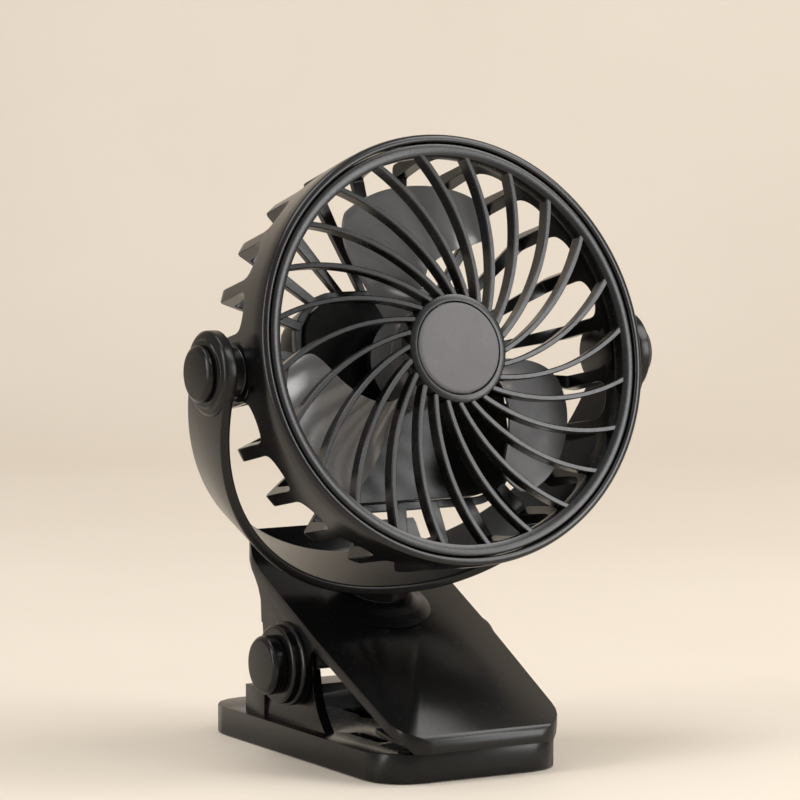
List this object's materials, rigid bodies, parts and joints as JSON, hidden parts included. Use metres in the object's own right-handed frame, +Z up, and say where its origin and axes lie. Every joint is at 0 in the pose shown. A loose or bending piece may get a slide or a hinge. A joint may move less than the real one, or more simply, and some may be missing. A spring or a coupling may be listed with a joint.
{
  "type": "clip fan",
  "caption": "Small clip-on table fan: sprung clamp base, swivelling U-shaped yoke, tilting round head with spiral grille, wide-bladed impeller and rear battery pod.",
  "frame": {"origin": "centre of the underside of the base's rubber sole, on the surface that the fan stands on", "axes": "+Z up, the fan faces -Y, +X to the right of someone who looks at its front"},
  "size_m": [0.1768, 0.1373, 0.2161],
  "materials": {
    "black_plastic": "satin",
    "barrel_plastic": "satin",
    "disc_grey": "matte",
    "blade_grey": "gloss",
    "rubber": "matte",
    "steel": "satin",
    "brass": "satin",
    "cell_wrap": "gloss",
    "board": "satin",
    "lens": "gloss"
  },
  "bodies": {
    "base": {"base_shell": "black_plastic", "base_cover": "black_plastic", "rubber_sole": "rubber", "base_screw_1": "steel", "base_screw_2": "steel", "base_screw_3": "steel", "base_screw_4": "steel", "lower_grip_pad": "rubber", "clip_pin": "steel", "clip_spring": "steel", "clip_pin_cap_right": "black_plastic", "clip_pin_cap_left": "black_plastic"},
    "jaw": {"upper_jaw": "black_plastic", "jaw_liner": "black_plastic", "upper_grip_pad": "rubber", "swivel_washer": "rubber"},
    "yoke": {"yoke_bracket": "black_plastic", "swivel_screw": "steel", "spring_washer": "steel", "yoke_cap_right": "black_plastic", "yoke_cap_left": "black_plastic", "tilt_pin_right": "steel", "tilt_pin_left": "steel", "friction_washer_right": "rubber", "friction_washer_left": "rubber"},
    "head": {"rear_cage": "barrel_plastic", "front_grille": "barrel_plastic", "hub_disc": "disc_grey", "motor_bush": "brass", "motor_can": "steel", "pod_front": "black_plastic", "pod_back": "black_plastic", "pod_screw_1": "steel", "pod_screw_2": "steel", "pod_screw_3": "steel", "pod_screw_4": "steel", "battery_cell": "cell_wrap", "circuit_board": "board", "charging_socket": "steel", "indicator_lens": "lens", "button_bezel": "black_plastic"},
    "rotor": {"impeller": "blade_grey", "motor_shaft": "steel"},
    "button": {"power_button": "disc_grey"}
  },
  "joints": [
    {"name": "clip_open", "type": "hinge", "parent": "base", "child": "jaw", "pos_m": [0, 0.006, 0.032], "axis": [-1, 0, 0], "range_deg": [0, 28], "stiffness_Nm_per_rad": 1.2, "springref_deg": -20.05, "deforming": ["clip_spring"]},
    {"name": "swivel", "type": "hinge", "parent": "jaw", "child": "yoke", "pos_m": [0, 0.006, 0.0529], "axis": [0, -0.3746, 0.9272], "continuous": true},
    {"name": "tilt", "type": "hinge", "parent": "yoke", "child": "head", "pos_m": [0, -0.02846, 0.1382], "axis": [1, 0, 0], "continuous": true},
    {"name": "impeller_spin", "type": "hinge", "parent": "head", "child": "rotor", "pos_m": [0, -0.02823, 0.13917], "axis": [0, -0.9715, 0.2368], "continuous": true},
    {"name": "power_button_press", "type": "slide", "parent": "head", "child": "button", "axis": [0, -0.9715, 0.2368], "range_m": [0, 0.0012], "stiffness_N_per_m": 250, "springref_m": -0.001}
  ]
}
